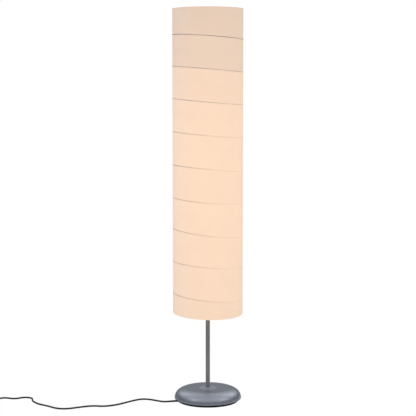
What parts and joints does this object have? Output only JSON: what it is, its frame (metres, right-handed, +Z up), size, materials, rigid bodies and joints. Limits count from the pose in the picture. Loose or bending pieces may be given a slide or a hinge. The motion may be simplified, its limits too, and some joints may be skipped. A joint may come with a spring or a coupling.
{
  "type": "floor lamp",
  "caption": "Floor lamp with a tall cylindrical paper lantern shade on wire hoops, a slim stem and a rounded weighted base.",
  "frame": {"origin": "on the floor under the middle of the round base, measured without the lead and what is on it", "axes": "+Z up along the stem, -Y the front, the mains lead leaves towards -X"},
  "size_m": [0.948, 0.2209, 1.174],
  "materials": {
    "base_metal": "satin",
    "stem_metal": "satin",
    "iron": "matte",
    "rubber": "matte",
    "zinc": "satin",
    "wire": "satin",
    "paper": "matte",
    "holder_plastic": "matte",
    "terminal_ceramic": "gloss",
    "brass": "satin",
    "bulb_metal": "satin",
    "bulb_plastic": "satin",
    "opal": "satin",
    "lead_sheath": "satin",
    "switch_plastic": "satin",
    "plug_plastic": "satin",
    "pin_metal": "satin"
  },
  "bodies": {
    "root": {"base_cover": "base_metal", "base_weight": "iron", "foot_ring": "rubber", "base_nipple": "zinc", "base_washer": "zinc", "base_nut": "zinc", "stem_lower": "stem_metal", "stem_coupler": "stem_metal", "stem_upper": "stem_metal", "holder_nipple": "zinc", "internal_lead": "lead_sheath", "cord_strain_relief": "lead_sheath", "harp_saddle": "zinc", "holder_cap": "holder_plastic", "holder_shell": "holder_plastic", "terminal_block": "terminal_ceramic", "screw_shell": "bulb_metal", "centre_contact": "brass", "harp_wire_left": "wire", "harp_wire_right": "wire", "harp_boss": "zinc", "top_spider": "wire", "finial_washer": "zinc", "top_ring": "wire", "paper_band_1": "paper", "bottom_spider": "wire", "spider_screw": "zinc", "lead_to_switch": "lead_sheath", "lead_to_coil": "lead_sheath", "lead_coil": "lead_sheath", "lead_to_plug": "lead_sheath", "switch_base": "switch_plastic", "switch_cover": "switch_plastic", "switch_spring": "zinc", "plug_body": "plug_plastic", "plug_pins": "pin_metal"},
    "hoop_1": {"rib_hoop_1": "wire", "paper_band_2": "paper"},
    "hoop_2": {"rib_hoop_2": "wire", "paper_band_3": "paper"},
    "hoop_3": {"rib_hoop_3": "wire", "paper_band_4": "paper"},
    "hoop_4": {"rib_hoop_4": "wire", "paper_band_5": "paper"},
    "hoop_5": {"rib_hoop_5": "wire", "paper_band_6": "paper"},
    "hoop_6": {"rib_hoop_6": "wire", "paper_band_7": "paper"},
    "hoop_7": {"rib_hoop_7": "wire", "paper_band_8": "paper"},
    "hoop_8": {"rib_hoop_8": "wire", "paper_band_9": "paper"},
    "hoop_9": {"rib_hoop_9": "wire", "paper_band_10": "paper"},
    "shade_foot": {"bottom_ring": "wire"},
    "finial": {"finial_nut": "brass"},
    "bulb": {"bulb_cap": "bulb_metal", "bulb_housing": "bulb_plastic", "bulb_globe": "opal"},
    "foot_button": {"switch_button": "switch_plastic"}
  },
  "joints": [
    {"name": "shade_raise", "type": "slide", "parent": "root", "child": "shade_foot", "axis": [0, 0, 1], "range_m": [0, 0.6924], "deforming": ["paper_band_10"]},
    {"name": "hoop_1_raise", "type": "slide", "parent": "root", "child": "hoop_1", "axis": [0, 0, 1], "range_m": [0, 0.0647], "deforming": ["paper_band_1"]},
    {"name": "hoop_2_raise", "type": "slide", "parent": "root", "child": "hoop_2", "axis": [0, 0, 1], "range_m": [0, 0.1366], "deforming": ["paper_band_2"]},
    {"name": "hoop_3_raise", "type": "slide", "parent": "root", "child": "hoop_3", "axis": [0, 0, 1], "range_m": [0, 0.2096], "deforming": ["paper_band_3"]},
    {"name": "hoop_4_raise", "type": "slide", "parent": "root", "child": "hoop_4", "axis": [0, 0, 1], "range_m": [0, 0.2842], "deforming": ["paper_band_4"]},
    {"name": "hoop_5_raise", "type": "slide", "parent": "root", "child": "hoop_5", "axis": [0, 0, 1], "range_m": [0, 0.3607], "deforming": ["paper_band_5"]},
    {"name": "hoop_6_raise", "type": "slide", "parent": "root", "child": "hoop_6", "axis": [0, 0, 1], "range_m": [0, 0.4343], "deforming": ["paper_band_6"]},
    {"name": "hoop_7_raise", "type": "slide", "parent": "root", "child": "hoop_7", "axis": [0, 0, 1], "range_m": [0, 0.5077], "deforming": ["paper_band_7"]},
    {"name": "hoop_8_raise", "type": "slide", "parent": "root", "child": "hoop_8", "axis": [0, 0, 1], "range_m": [0, 0.5817], "deforming": ["paper_band_8"]},
    {"name": "hoop_9_raise", "type": "slide", "parent": "root", "child": "hoop_9", "axis": [0, 0, 1], "range_m": [0, 0.6549], "deforming": ["paper_band_9"]},
    {"name": "finial_turn", "type": "hinge", "parent": "root", "child": "finial", "pos_m": [0, 0, 1.144], "axis": [0, 0, 1], "range_deg": [0, 2160]},
    {"name": "bulb_turn", "type": "hinge", "parent": "root", "child": "bulb", "pos_m": [0, 0, 0.604], "axis": [0, 0, 1], "range_deg": [0, 1080]},
    {"name": "button_press", "type": "slide", "parent": "root", "child": "foot_button", "axis": [0, 0, -1], "range_m": [0, 0.0025], "stiffness_N_per_m": 600, "springref_m": -0.002, "deforming": ["switch_spring"]}
  ],
  "couplings": [
    {"joint": "hoop_1_raise", "follows": "shade_raise", "ratio": 0.09253},
    {"joint": "hoop_2_raise", "follows": "shade_raise", "ratio": 0.1964},
    {"joint": "hoop_3_raise", "follows": "shade_raise", "ratio": 0.30182},
    {"joint": "hoop_4_raise", "follows": "shade_raise", "ratio": 0.40959},
    {"joint": "hoop_5_raise", "follows": "shade_raise", "ratio": 0.52013},
    {"joint": "hoop_6_raise", "follows": "shade_raise", "ratio": 0.62633},
    {"joint": "hoop_7_raise", "follows": "shade_raise", "ratio": 0.73243},
    {"joint": "hoop_8_raise", "follows": "shade_raise", "ratio": 0.83919},
    {"joint": "hoop_9_raise", "follows": "shade_raise", "ratio": 0.94495}
  ]
}
